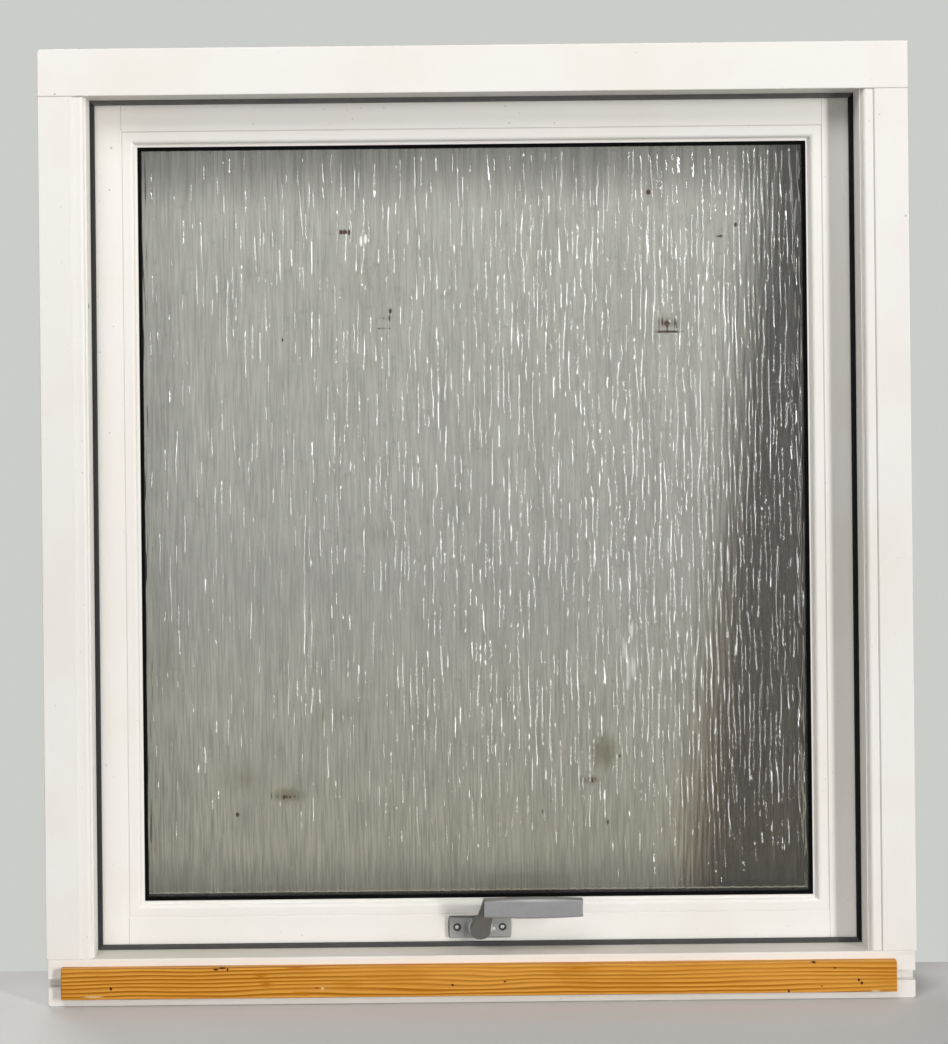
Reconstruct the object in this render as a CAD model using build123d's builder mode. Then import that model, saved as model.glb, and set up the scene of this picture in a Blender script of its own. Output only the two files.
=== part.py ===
"""Timber window with patterned glass: frame, sash, seals, sealed glazing and a lever handle.

Millimetres. X runs to the right seen from the room, Y from the room to the outside, Z up.
The origin is the middle of the frame's underside.
"""
import os

from build123d import *

# Frame: the face is what the room sees of a member, the stop is what the sash closes against
frame_width = 900
frame_height = 990
frame_depth = 105
member_face = 49
stop_depth = 30
arris_round = 1
worn_corner = 4

# Sash, set behind the stop
sash_overlap = 13
sash_gap = 4
sash_thickness = 60
sash_sight = 43.5

# Mouldings from the opening outwards: flat lip, quarter round, flat band, bevel up to the face
jamb_moulding = {"lip": 2, "radius": 4, "band": 7, "bevel": 1.5}
sash_moulding = {"lip": 3, "radius": 4.5, "band": 7.5, "bevel": 1.4}

# How far the band lies behind the face, and the bevel's foot behind the band
jamb_band_depth = 1.6
jamb_bevel_sink = 0.3
sash_band_depth = 0.3
sash_bevel_sink = 1.3

# Weather seal between the stop and the sash
seal_thickness = 4
seal_show = 5
seal_bury = 8

# Sealed glazing: pane, spacer, pane, held by an inner seal and outer beads
glass_setback = 6
glazing_seal_thickness = 3
glazing_seal_show = 3.4
glazing_seal_bury = 11
pane_thickness = 4
pane_cavity = 16
pane_clearance = 2.4
spacer_show = 1.5
bead_slope = 9
bead_edge = 8

# Sill: weathered slope outside, drip groove below, trim groove and worn patch on the room face
sill_inset = 1.5
sill_fall = 8
sill_corner = 2.5
drip_width = 6
drip_depth = 4
drip_setback = 6
trim_groove_height = 10
trim_groove_depth = 10
trim_groove_bottom = 18.5
patch_length = 17
patch_depth = 1
patch_margin = 2.3

# Pine strip over the trim groove
strip_left_margin = 16.5
strip_right_margin = 23
strip_height = 31.5
strip_bottom = 9.5
strip_thickness = 9.5
strip_round = 1.2

# Stays in the gap beside the sash
stay_width = 18
stay_length = 320
stay_below_top = 40

# Handle: plate on the bottom rail, lever turning on it
plate_length = 66.6
plate_height = 22.5
plate_thickness = 4
plate_corner = 2
plate_end_bulge = 0.8
plate_gap = 3.75
collar_radius = 12.3
collar_height = 1
screw_spacing = 47.4
screw_hole_radius = 2.3
screw_head_radius = 4.2
spindle_radius = 5
spindle_clearance = 0.05
spindle_length = 30
spindle_bore_radius = 7
hub_radius = 10.5
hub_height = 7.5
hub_lift = 0.3
grip_start = 3
grip_reach = 105
grip_rise = 29
grip_end_height = 17.5
grip_middle_height = 20.5
grip_end_hollow = 0.6
grip_standoff = 42
grip_thickness = 12
grip_round = 2.5

# Levels along Y
room_y = -frame_depth / 2
outside_y = frame_depth / 2
stop_y = room_y + stop_depth
sash_y = stop_y + seal_thickness
sash_back_y = sash_y + sash_thickness
glass_stop_y = sash_y + glass_setback
pane_inner_y = glass_stop_y + glazing_seal_thickness
spacer_y = pane_inner_y + pane_thickness
pane_outer_y = spacer_y + pane_cavity
bead_y = pane_outer_y + pane_thickness

# Edges across the window, as half widths, and up it, as heights
middle_z = frame_height / 2
opening_half = frame_width / 2 - member_face
rebate_width = sash_overlap + sash_gap
sash_half = opening_half + sash_overlap
sash_half_height = middle_z - member_face + sash_overlap
light_half = opening_half - seal_show - sash_sight
light_bottom = member_face + seal_show + sash_sight
light_half_height = middle_z - light_bottom
sash_face = sash_half - light_half
moulding_width = sum(sash_moulding.values())
pane_edge = moulding_width - pane_clearance
shoulder_half = light_half + moulding_width
shoulder_half_height = light_half_height + moulding_width

# Planes for sections: u runs from an opening's edge outwards, v is the world's Y
def side_plane(half_width):
    return Plane(origin=(half_width, 0, middle_z), x_dir=(1, 0, 0), z_dir=(0, 0, 1))


def bottom_plane(height):
    return Plane(origin=(0, 0, height), x_dir=(0, 0, -1), z_dir=(1, 0, 0))


# Planes for outlines seen from the room, at a level along Y; their normal points into the room
def room_plane(level):
    return Plane.XZ.offset(-level)


window_middle = Plane.XY.offset(middle_z)
mitre_high = Plane(origin=(opening_half, 0, frame_height - member_face), z_dir=(-1, 0, 1))
mitre_low = Plane(origin=(opening_half, 0, member_face), z_dir=(1, 0, 1))
mitre_low_left = Plane(origin=(-opening_half, 0, member_face), z_dir=(-1, 0, 1))


def moulded_section(plane, moulding, band_depth, bevel_sink, face, front, stop, rebate, back):
    """Section of a moulded member with a rebate behind its lip."""
    round_end = moulding["lip"] + moulding["radius"]
    band_end = round_end + moulding["band"]
    band_level = front + band_depth
    lip_level = band_level + moulding["radius"]
    with BuildSketch(plane) as section:
        with BuildLine():
            Polyline((rebate, stop), (0, stop), (0, lip_level), (moulding["lip"], lip_level))
            CenterArc((round_end, lip_level), moulding["radius"], 180, 90)
            Polyline(
                (round_end, band_level),
                (band_end, band_level),
                (band_end, band_level + bevel_sink),
                (band_end + moulding["bevel"], front),
                (face, front),
                (face, back),
                (rebate, back),
                (rebate, stop),
            )
        make_face()
    return section.sketch


def frame_seal_section(plane):
    """Weather seal with a rounded nose that shows beside the stop."""
    with BuildSketch(plane) as section:
        with Locations(((seal_bury - seal_show) / 2, (stop_y + sash_y) / 2)):
            Rectangle(seal_bury + seal_show, seal_thickness)
        fillet(section.vertices().group_by(Axis((0, 0, 0), plane.x_dir))[0], seal_thickness * 0.45)
    return section.sketch


def glazing_seal_section(plane):
    """Inner glazing seal with a softened edge that shows beside the lip."""
    with BuildSketch(plane) as section:
        with Locations(((glazing_seal_bury - glazing_seal_show) / 2, (glass_stop_y + pane_inner_y) / 2)):
            Rectangle(glazing_seal_bury + glazing_seal_show, glazing_seal_thickness)
        fillet(section.vertices().group_by(Axis((0, 0, 0), plane.x_dir))[0], glazing_seal_thickness / 3)
    return section.sketch


def outer_bead_section(plane):
    """Outer bead with a sloped face that sheds water."""
    with BuildSketch(plane) as section:
        with BuildLine():
            Polyline(
                (0, bead_y),
                (moulding_width, bead_y),
                (moulding_width, sash_back_y),
                (bead_slope, sash_back_y),
                (0, bead_y + bead_edge),
                close=True,
            )
        make_face()
    return section.sketch


os.makedirs("parts", exist_ok=True)

# Frame head: rebated below, its upper left corner worn round
with BuildSketch(Plane.YZ) as head_section:
    with BuildLine():
        Polyline(
            (room_y, frame_height),
            (room_y, frame_height - member_face),
            (stop_y, frame_height - member_face),
            (stop_y, frame_height - member_face + rebate_width),
            (outside_y, frame_height - member_face + rebate_width),
            (outside_y, frame_height),
            close=True,
        )
    make_face()

with BuildPart() as frame_head:
    extrude(head_section.sketch, amount=frame_width / 2, both=True)
    top_ends = frame_head.edges().filter_by(Axis.Y).group_by(Axis.Z)[-1]
    fillet(top_ends.sort_by(Axis.X)[0], worn_corner)
    room_face = frame_head.faces().sort_by(Axis.Y)[0]
    fillet(room_face.edges().filter_by(Axis.X), arris_round)
frame_head.part.label = "frame_head"
export_step(frame_head.part, "parts/frame_head.step")

# Frame sill: its rebate falls to the outside
with BuildSketch(Plane.YZ) as sill_section:
    with BuildLine():
        Polyline(
            (room_y, 0),
            (room_y, member_face),
            (stop_y, member_face),
            (stop_y, member_face - rebate_width),
            (outside_y, member_face - rebate_width - sill_fall),
            (outside_y, 0),
            close=True,
        )
    make_face()

with BuildPart() as frame_sill:
    extrude(sill_section.sketch, amount=frame_width / 2 - sill_inset, both=True)
    bottom_ends = frame_sill.edges().filter_by(Axis.Y).group_by(Axis.Z)[0]
    fillet(bottom_ends, sill_corner)
    room_face = frame_sill.faces().sort_by(Axis.Y)[0]
    fillet(room_face.edges().filter_by(Axis.X), arris_round)
    with BuildSketch(Plane.YZ):
        with Locations((room_y, trim_groove_bottom)):
            Rectangle(trim_groove_depth, trim_groove_height, align=Align.MIN)
        with Locations((outside_y - drip_setback, 0)):
            Rectangle(drip_width, drip_depth, align=(Align.MAX, Align.MIN))
    extrude(amount=frame_width / 2, both=True, mode=Mode.SUBTRACT)
    with BuildSketch(room_plane(room_y)):
        with Locations((frame_width / 2 - sill_inset, trim_groove_bottom + trim_groove_height)):
            Rectangle(
                patch_length,
                member_face - patch_margin - trim_groove_bottom - trim_groove_height,
                align=(Align.MAX, Align.MIN),
            )
    extrude(amount=-patch_depth, mode=Mode.SUBTRACT)
frame_sill.part.label = "frame_sill"
export_step(frame_sill.part, "parts/frame_sill.step")

# Jambs: their ends are scribed over the head's and the sill's rebates
jamb_section = moulded_section(
    side_plane(opening_half),
    jamb_moulding,
    jamb_band_depth,
    jamb_bevel_sink,
    member_face,
    room_y,
    stop_y,
    rebate_width,
    outside_y,
)
with BuildPart() as frame_jamb_right:
    extrude(jamb_section, amount=frame_height / 2, both=True)
    outer_face = frame_jamb_right.faces().sort_by(Axis.X)[-1]
    fillet(outer_face.edges().filter_by(Axis.Z), arris_round)
    extrude(head_section.sketch, amount=frame_width, both=True, mode=Mode.SUBTRACT)
    extrude(sill_section.sketch, amount=frame_width, both=True, mode=Mode.SUBTRACT)
frame_jamb_right.part.label = "frame_jamb_right"
export_step(frame_jamb_right.part, "parts/frame_jamb_right.step")

with BuildPart() as frame_jamb_left:
    mirror(frame_jamb_right.part, about=Plane.YZ)
frame_jamb_left.part.label = "frame_jamb_left"
export_step(frame_jamb_left.part, "parts/frame_jamb_left.step")

# Sash stiles: full height, their moulding mitred to the rails' at each corner
stile_section = moulded_section(
    side_plane(light_half),
    sash_moulding,
    sash_band_depth,
    sash_bevel_sink,
    sash_face,
    sash_y,
    glass_stop_y,
    moulding_width,
    sash_back_y,
)
with BuildPart() as sash_stile_right:
    extrude(stile_section, amount=sash_half_height, both=True)
    with BuildSketch(room_plane(0)):
        with BuildLine():
            Polyline(
                (sash_half, middle_z - sash_half_height),
                (sash_half, middle_z + sash_half_height),
                (shoulder_half, middle_z + sash_half_height),
                (shoulder_half, middle_z + shoulder_half_height),
                (light_half, middle_z + light_half_height),
                (light_half, middle_z - light_half_height),
                (shoulder_half, middle_z - shoulder_half_height),
                (shoulder_half, middle_z - sash_half_height),
                close=True,
            )
        make_face()
    extrude(amount=frame_depth, both=True, mode=Mode.INTERSECT)
sash_stile_right.part.label = "sash_stile_right"
export_step(sash_stile_right.part, "parts/sash_stile_right.step")

with BuildPart() as sash_stile_left:
    mirror(sash_stile_right.part, about=Plane.YZ)
sash_stile_left.part.label = "sash_stile_left"
export_step(sash_stile_left.part, "parts/sash_stile_left.step")

# Sash rails: square shoulders against the stiles, mitred moulding
rail_section = moulded_section(
    bottom_plane(light_bottom),
    sash_moulding,
    sash_band_depth,
    sash_bevel_sink,
    sash_face,
    sash_y,
    glass_stop_y,
    moulding_width,
    sash_back_y,
)
with BuildPart() as plain_rail:
    extrude(rail_section, amount=shoulder_half, both=True)
    split(bisect_by=mitre_low, keep=Keep.BOTTOM)
    split(bisect_by=mitre_low_left, keep=Keep.BOTTOM)

with BuildPart() as sash_rail_top:
    mirror(plain_rail.part, about=window_middle)
sash_rail_top.part.label = "sash_rail_top"
export_step(sash_rail_top.part, "parts/sash_rail_top.step")

# The bottom rail is bored for the handle's spindle
pivot_z = member_face + seal_show + plate_gap + plate_height / 2
spindle_bore_depth = spindle_length + 2
with BuildPart() as sash_rail_bottom:
    add(plain_rail.part)
    with Locations(room_plane(sash_y)):
        with Locations((0, pivot_z)):
            Hole(spindle_bore_radius, depth=spindle_bore_depth)
sash_rail_bottom.part.label = "sash_rail_bottom"
export_step(sash_rail_bottom.part, "parts/sash_rail_bottom.step")

# Weather seals, glazing seals and outer beads: four mitred lengths each
mitred_sets = (
    ("frame_seal", frame_seal_section, opening_half, member_face),
    ("glazing_seal", glazing_seal_section, light_half, light_bottom),
    ("outer_bead", outer_bead_section, light_half, light_bottom),
)
for set_name, section_of, half_width, bottom_height in mitred_sets:
    with BuildPart() as right_length:
        extrude(section_of(side_plane(half_width)), amount=frame_height / 2, both=True)
        split(bisect_by=mitre_high, keep=Keep.BOTTOM)
        split(bisect_by=mitre_low, keep=Keep.TOP)
    with BuildPart() as left_length:
        mirror(right_length.part, about=Plane.YZ)
    with BuildPart() as bottom_length:
        extrude(section_of(bottom_plane(bottom_height)), amount=frame_width / 2, both=True)
        split(bisect_by=mitre_low, keep=Keep.BOTTOM)
        split(bisect_by=mitre_low_left, keep=Keep.BOTTOM)
    with BuildPart() as top_length:
        mirror(bottom_length.part, about=window_middle)
    lengths = {"right": right_length, "left": left_length, "bottom": bottom_length, "top": top_length}
    for side, length in lengths.items():
        length.part.label = f"{set_name}_{side}"
        export_step(length.part, f"parts/{set_name}_{side}.step")

# Sealed glazing: two panes and the bent spacer between them
pane_width = 2 * (light_half + pane_edge)
pane_height = 2 * (light_half_height + pane_edge)
spacer_opening_width = 2 * (light_half - spacer_show)
spacer_opening_height = 2 * (light_half_height - spacer_show)

with BuildPart() as pane_inner:
    with BuildSketch(room_plane(pane_inner_y)):
        with Locations((0, middle_z)):
            Rectangle(pane_width, pane_height)
    extrude(amount=-pane_thickness)
pane_inner.part.label = "pane_inner"
export_step(pane_inner.part, "parts/pane_inner.step")

with BuildPart() as pane_outer:
    with BuildSketch(room_plane(pane_outer_y)):
        with Locations((0, middle_z)):
            Rectangle(pane_width, pane_height)
    extrude(amount=-pane_thickness)
pane_outer.part.label = "pane_outer"
export_step(pane_outer.part, "parts/pane_outer.step")

with BuildPart() as pane_spacer:
    with BuildSketch(room_plane(spacer_y)):
        with Locations((0, middle_z)):
            Rectangle(pane_width, pane_height)
            Rectangle(spacer_opening_width, spacer_opening_height, mode=Mode.SUBTRACT)
    extrude(amount=-pane_cavity)
pane_spacer.part.label = "pane_spacer"
export_step(pane_spacer.part, "parts/pane_spacer.step")

# Stays: flat steel with rounded ends in the gap between jamb and sash
with BuildPart() as stay_right:
    with BuildSketch(Plane.YZ.offset(sash_half)):
        with Locations((sash_y + sash_thickness / 2, middle_z + sash_half_height - stay_below_top - stay_length / 2)):
            SlotOverall(stay_length, stay_width, rotation=90)
    extrude(amount=sash_gap)
stay_right.part.label = "stay_right"
export_step(stay_right.part, "parts/stay_right.step")

with BuildPart() as stay_left:
    mirror(stay_right.part, about=Plane.YZ)
stay_left.part.label = "stay_left"
export_step(stay_left.part, "parts/stay_left.step")

# Pine strip
strip_left = -frame_width / 2 + strip_left_margin
strip_right = frame_width / 2 - strip_right_margin
with BuildPart() as sill_strip:
    with BuildSketch(room_plane(room_y)):
        with Locations((strip_left, strip_bottom)):
            Rectangle(strip_right - strip_left, strip_height, align=Align.MIN)
    extrude(amount=strip_thickness)
    room_face = sill_strip.faces().sort_by(Axis.Y)[0]
    fillet(room_face.edges(), strip_round)
sill_strip.part.label = "sill_strip"
export_step(sill_strip.part, "parts/sill_strip.step")

# Handle plate: slightly bulged ends, raised collar, two countersunk holes
plate_half = plate_length / 2
plate_straight = plate_half - plate_end_bulge
with BuildPart() as handle_plate:
    with BuildSketch(room_plane(sash_y)) as plate_outline:
        with BuildLine():
            low = pivot_z - plate_height / 2
            high = pivot_z + plate_height / 2
            Line((-plate_straight, low), (plate_straight, low))
            ThreePointArc((plate_straight, low), (plate_half, pivot_z), (plate_straight, high))
            Line((plate_straight, high), (-plate_straight, high))
            ThreePointArc((-plate_straight, high), (-plate_half, pivot_z), (-plate_straight, low))
        make_face()
        fillet(plate_outline.vertices(), plate_corner)
        with Locations((0, pivot_z)):
            Circle(collar_radius)
    extrude(amount=plate_thickness)
    front_rim = handle_plate.faces().sort_by(Axis.Y)[0].edges()
    fillet(front_rim, plate_thickness / 4)
    with BuildSketch(room_plane(sash_y - plate_thickness)):
        with Locations((0, pivot_z)):
            Circle(collar_radius)
    extrude(amount=collar_height)
    with Locations(room_plane(sash_y - plate_thickness)):
        with Locations((-screw_spacing / 2, pivot_z), (screw_spacing / 2, pivot_z)):
            CounterSinkHole(screw_hole_radius, screw_head_radius, depth=plate_thickness)
    with Locations(room_plane(sash_y - plate_thickness - collar_height)):
        with Locations((0, pivot_z)):
            Hole(spindle_radius + spindle_clearance, depth=plate_thickness + collar_height)
handle_plate.part.label = "handle_plate"
export_step(handle_plate.part, "parts/handle_plate.step")

# Handle lever: hub and neck under one sloping face, with the grip standing out in front of the neck
hub_back_y = sash_y - plate_thickness - collar_height - hub_lift
hub_front_y = hub_back_y - hub_height
grip_front_y = sash_y - grip_standoff
grip_back_y = grip_front_y + grip_thickness
grip_z = pivot_z + grip_rise
grip_half = grip_middle_height / 2
grip_end_half = grip_end_height / 2
grip_middle_x = (grip_start + grip_reach) / 2
with BuildPart() as lever_grip:
    with BuildSketch(room_plane(grip_back_y)):
        with BuildLine():
            Line((grip_start, grip_z - grip_end_half), (grip_start, grip_z + grip_end_half))
            ThreePointArc(
                (grip_start, grip_z + grip_end_half),
                (grip_middle_x, grip_z + grip_half),
                (grip_reach, grip_z + grip_end_half),
            )
            ThreePointArc(
                (grip_reach, grip_z + grip_end_half),
                (grip_reach - grip_end_hollow, grip_z),
                (grip_reach, grip_z - grip_end_half),
            )
            ThreePointArc(
                (grip_reach, grip_z - grip_end_half),
                (grip_middle_x, grip_z - grip_half),
                (grip_start, grip_z - grip_end_half),
            )
        make_face()
    extrude(amount=grip_thickness)
    long_edges = lever_grip.edges().filter_by(Axis.Y, reverse=True).sort_by(SortBy.LENGTH)[-4:]
    fillet(long_edges, grip_round)

with BuildPart() as handle_lever:
    with BuildSketch(Plane.YZ):
        with BuildLine():
            Polyline(
                (hub_back_y, pivot_z - hub_radius),
                (hub_front_y, pivot_z - hub_radius),
                (grip_front_y, grip_z + grip_end_half),
                (grip_back_y, grip_z + grip_end_half),
                (grip_back_y, grip_z - grip_end_half),
                (hub_back_y, pivot_z + hub_radius),
                close=True,
            )
        make_face()
    extrude(amount=grip_reach, both=True)
    with BuildSketch(room_plane(0)):
        with Locations((0, pivot_z)):
            Circle(hub_radius)
        with BuildLine():
            Polyline(
                (-hub_radius, pivot_z),
                (grip_start, grip_z + grip_end_half),
                (grip_start + hub_radius, grip_z + grip_end_half),
                (hub_radius, pivot_z),
                close=True,
            )
        make_face()
    extrude(amount=frame_depth, both=True, mode=Mode.INTERSECT)
    add(lever_grip.part)
    with BuildSketch(room_plane(hub_back_y)):
        with Locations((0, pivot_z)):
            Circle(spindle_radius)
    extrude(amount=-spindle_length)
handle_lever.part.label = "handle_lever"
export_step(handle_lever.part, "parts/handle_lever.step")
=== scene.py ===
# Frosted glass window: ridged inner pane, plate screws, finishes, camera and studio.
import math

import bmesh
import bpy
from mathutils import Euler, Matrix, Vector


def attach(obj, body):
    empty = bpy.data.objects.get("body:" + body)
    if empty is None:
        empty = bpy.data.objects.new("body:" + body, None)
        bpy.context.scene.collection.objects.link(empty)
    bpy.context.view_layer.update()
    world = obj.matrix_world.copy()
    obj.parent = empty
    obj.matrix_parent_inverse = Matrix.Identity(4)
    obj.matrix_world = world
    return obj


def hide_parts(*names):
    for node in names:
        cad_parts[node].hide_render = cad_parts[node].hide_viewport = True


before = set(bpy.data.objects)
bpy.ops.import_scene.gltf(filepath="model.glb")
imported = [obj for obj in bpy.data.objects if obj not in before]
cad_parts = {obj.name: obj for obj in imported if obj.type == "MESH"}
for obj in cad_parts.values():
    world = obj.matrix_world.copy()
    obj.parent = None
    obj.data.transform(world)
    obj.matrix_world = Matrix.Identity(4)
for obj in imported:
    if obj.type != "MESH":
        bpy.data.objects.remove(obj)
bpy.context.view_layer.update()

MM = 0.001
SIDES = ["top", "bottom", "left", "right"]

# Sizes in millimetres, as in the part's source.
ROOM_FACE_Y = -52.5
SASH_FACE_Y = -18.5
PANE_FACE_Y = -9.5
PANE_BACK_Y = -5.5
PANE_HALF_WIDTH = 366.5
PANE_BOTTOM_Z = 83.5
PANE_TOP_Z = 906.5
SHOULDER_X = 368.9
HEAD_UNDERSIDE_Z = 941.0
SILL_TOP_Z = 49.0
STRIP_FACE_Y = -62.0
SCREW_X = 23.7
SCREW_Z = 69.0
PLATE_FACE_Y = -22.5
GRIP_BACK_Y = -48.5
GRIP_START_X = 3.0

# The relief of the pane.
PANE_COLUMNS = 1101
PANE_ROWS = 86
RIDGE_DEPTH = 1.3
RIDGE_WIDTH = 3.7
RIDGE_LENGTH = 48.0
RIDGE_WANDER = 6.0
DRIFT_CELLS = (18.0, 14.0)
PLAIN_RIM = 17.5
RIM_FADE = 6.0
RIDGE_SEED = 4.0

# Raised countersunk screws of the handle plate.
SCREW_HEAD_RADIUS = 3.1
SCREW_HEAD_RISE = 1.2
SCREW_SINK = 0.9
CROSS_LENGTH = 2.8
CROSS_WIDTH = 0.7
CROSS_DEPTH = 0.6
CROSS_TURN = 35.0

# Growth rings of the pine strip, and how far they sway.
RING_SPACING = 4.1
RING_SWAY = 9.0
SWIRL_SWAY = 11.0

# Half widths of the paint seams, from the dark line to where it ends.
SEAM_CORE = 0.25
SEAM_EDGE = 0.75

# Colours, linear.
PAINT_WHITE = (0.86, 0.832, 0.79)
PAINT_AGED = (0.81, 0.77, 0.69)
PAINT_GRIME = (0.42, 0.38, 0.32)
PAINT_TOP_GREY = (0.58, 0.54, 0.47)
SEAM_SHADE = (0.36, 0.33, 0.30)
RUBBER_GREY = (0.004, 0.0035, 0.004)
RUBBER_DUST = (0.165, 0.16, 0.155)
RUBBER_BLACK = (0.002, 0.002, 0.002)
SPACER_BLACK = (0.002, 0.002, 0.002)
GLASS_FILM = 0.035
GLASS_GREY = (0.69, 0.68, 0.64)
GLASS_WARM = (0.70, 0.665, 0.555)
GLASS_CLEAR = (0.945, 0.95, 0.93)
GLASS_SILT = (0.045, 0.024, 0.012)
GLASS_STAIN = (0.245, 0.215, 0.12)
GLASS_DUST = (0.50, 0.505, 0.475)
GLASS_CHALK = (0.88, 0.88, 0.83)
FLOAT_DUST = (0.6, 0.59, 0.55)
CAST_GREY = (0.36, 0.355, 0.365)
CAST_PLATE = (0.40, 0.40, 0.39)
CAST_HIGHLIGHT = (0.95, 0.95, 0.93)
CAST_SHADE = (0.145, 0.147, 0.138)
CAST_DARK = (0.30, 0.30, 0.295)
SCREW_STEEL = (0.92, 0.92, 0.90)
STEEL_SHADE = (0.13, 0.13, 0.125)
ZINC = (0.52, 0.52, 0.53)
PINE_EARLY = (0.71, 0.335, 0.055)
PINE_LATE = (0.36, 0.122, 0.001)
PINE_FLAME = (0.46, 0.158, 0.004)
PINE_HOLE = (0.045, 0.012, 0.005)
PINE_BARE = (0.72, 0.50, 0.24)

# How light each weather seal is: partly dust, partly painted light and shade; the right seal, in shade, is
# painted darkest.
SEAL_DUST_AND_SHADE = {"top": 1.05, "bottom": 0.52, "left": 0.27, "right": 0.0}

# Marks in millimetres: x, y, z of the middle, half width, half height; then the strength.
MARK_DEPTH = 6.0
SASH_MARKS = [
    (-379.0, SASH_FACE_Y, 891.6, 1.5, 1.2, 0.9),
    (-381.5, SASH_FACE_Y, 847.4, 1.3, 1.3, 0.6),
    (391.6, SASH_FACE_Y, 829.8, 1.0, 1.4, 0.3),
    (-115.5, SASH_FACE_Y, 930.9, 1.0, 1.0, 0.6),
    (-125.1, SASH_FACE_Y, 919.4, 1.0, 1.0, 0.5),
    (36.0, SASH_FACE_Y, 931.4, 1.0, 1.2, 0.5),
    (40.0, SASH_FACE_Y, 913.5, 1.2, 1.0, 0.6),
    (87.4, SASH_FACE_Y, 913.0, 1.0, 1.0, 0.5),
]
FRAME_MARKS = [
    (410.3, ROOM_FACE_Y, 907.1, 1.0, 1.0, 0.6),
    (420.7, ROOM_FACE_Y, 913.5, 1.0, 1.0, 0.6),
    (446.5, ROOM_FACE_Y, 808.5, 1.2, 1.8, 0.7),
    (-401.0, -40.0, 724.3, 3.0, 4.0, 0.9),
    (-432.0, ROOM_FACE_Y, 943.5, 1.6, 1.2, 0.7),
    (172.0, -30.0, 52.0, 3.0, 1.5, 1.0),
]
STRIP_HOLES = [
    (-382.0, STRIP_FACE_Y, 21.0, 1.8, 2.2, 1.0),
    (387.4, STRIP_FACE_Y, 22.2, 1.6, 2.0, 1.0),
    (390.5, STRIP_FACE_Y, 19.1, 1.8, 2.0, 1.0),
    (362.8, STRIP_FACE_Y, 34.8, 1.5, 1.6, 0.8),
    (315.3, STRIP_FACE_Y, 11.4, 1.6, 2.2, 0.8),
    (349.3, STRIP_FACE_Y, 16.4, 1.4, 1.4, 0.5),
    (341.3, STRIP_FACE_Y, 40.8, 3.2, 1.4, 0.8),
    (-273.8, STRIP_FACE_Y, 39.6, 3.5, 1.4, 0.9),
    (-267.5, STRIP_FACE_Y, 41.0, 5.4, 1.2, 0.9),
    (-261.8, STRIP_FACE_Y, 39.5, 1.4, 2.7, 0.7),
    (-30.5, STRIP_FACE_Y, 21.3, 2.0, 1.6, 0.8),
    (23.4, STRIP_FACE_Y, 24.2, 2.4, 1.4, 0.6),
    (-170.0, STRIP_FACE_Y, 19.7, 3.0, 1.4, 0.4),
]
STRIP_FLAMES = [
    (-228.0, STRIP_FACE_Y, 32.5, 13.0, 5.0, 0.8),
    (-222.4, STRIP_FACE_Y, 25.5, 9.0, 7.0, 0.8),
    (-191.4, STRIP_FACE_Y, 41.0, 18.0, 3.6, 0.9),
    (-185.5, STRIP_FACE_Y, 14.5, 14.0, 3.4, 0.8),
    (-136.0, STRIP_FACE_Y, 22.4, 22.0, 8.0, 0.5),
    (97.6, STRIP_FACE_Y, 37.0, 22.0, 5.0, 0.6),
    (78.0, STRIP_FACE_Y, 33.5, 12.0, 3.4, 0.6),
]
STRIP_SWIRL = [
    (20.0, STRIP_FACE_Y, 27.0, 130.0, 40.0, 1.0),
]
STRIP_CHIPS = [
    (404.8, STRIP_FACE_Y, 10.6, 6.0, 1.8, 1.0),
    (-164.2, STRIP_FACE_Y, 19.4, 2.2, 2.4, 0.8),
    (-400.0, STRIP_FACE_Y, 13.0, 14.0, 1.6, 0.7),
]
# Painted highlights in the middle of each screw head; the rest of the head is painted shade.
SCREW_HIGHLIGHTS = [
    (-SCREW_X - 0.4, PLATE_FACE_Y, SCREW_Z + 0.3, 2.3, 2.3, 1.0),
    (SCREW_X - 0.2, PLATE_FACE_Y, SCREW_Z + 0.3, 2.3, 2.3, 1.0),
]
# Painted shade on the plate: dark rings in the screws' countersinks, shadow lines along its left, top and
# lower edges, and a shadow beside the hub.
PLATE_SHADE = [
    (-SCREW_X, PLATE_FACE_Y, SCREW_Z, 4.7, 4.7, 1.0),
    (SCREW_X, PLATE_FACE_Y, SCREW_Z, 4.7, 4.7, 1.0),
    (-33.2, PLATE_FACE_Y, 69.0, 2.0, 18.0, 1.0),
    (-12.0, PLATE_FACE_Y, 80.6, 30.0, 2.2, 0.9),
    (-14.5, PLATE_FACE_Y, 68.0, 5.5, 13.0, 0.22),
    (20.0, PLATE_FACE_Y, 57.4, 16.0, 1.8, 0.6),
]
# Painted highlights on the plate: a bright ring round the hub's boss and a bright spot to its right.
PLATE_HIGHLIGHTS = [
    (0.8, PLATE_FACE_Y, SCREW_Z, 13.8, 11.2, 2.2),
    (14.9, PLATE_FACE_Y, 67.4, 1.9, 2.4, 1.0),
]
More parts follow.
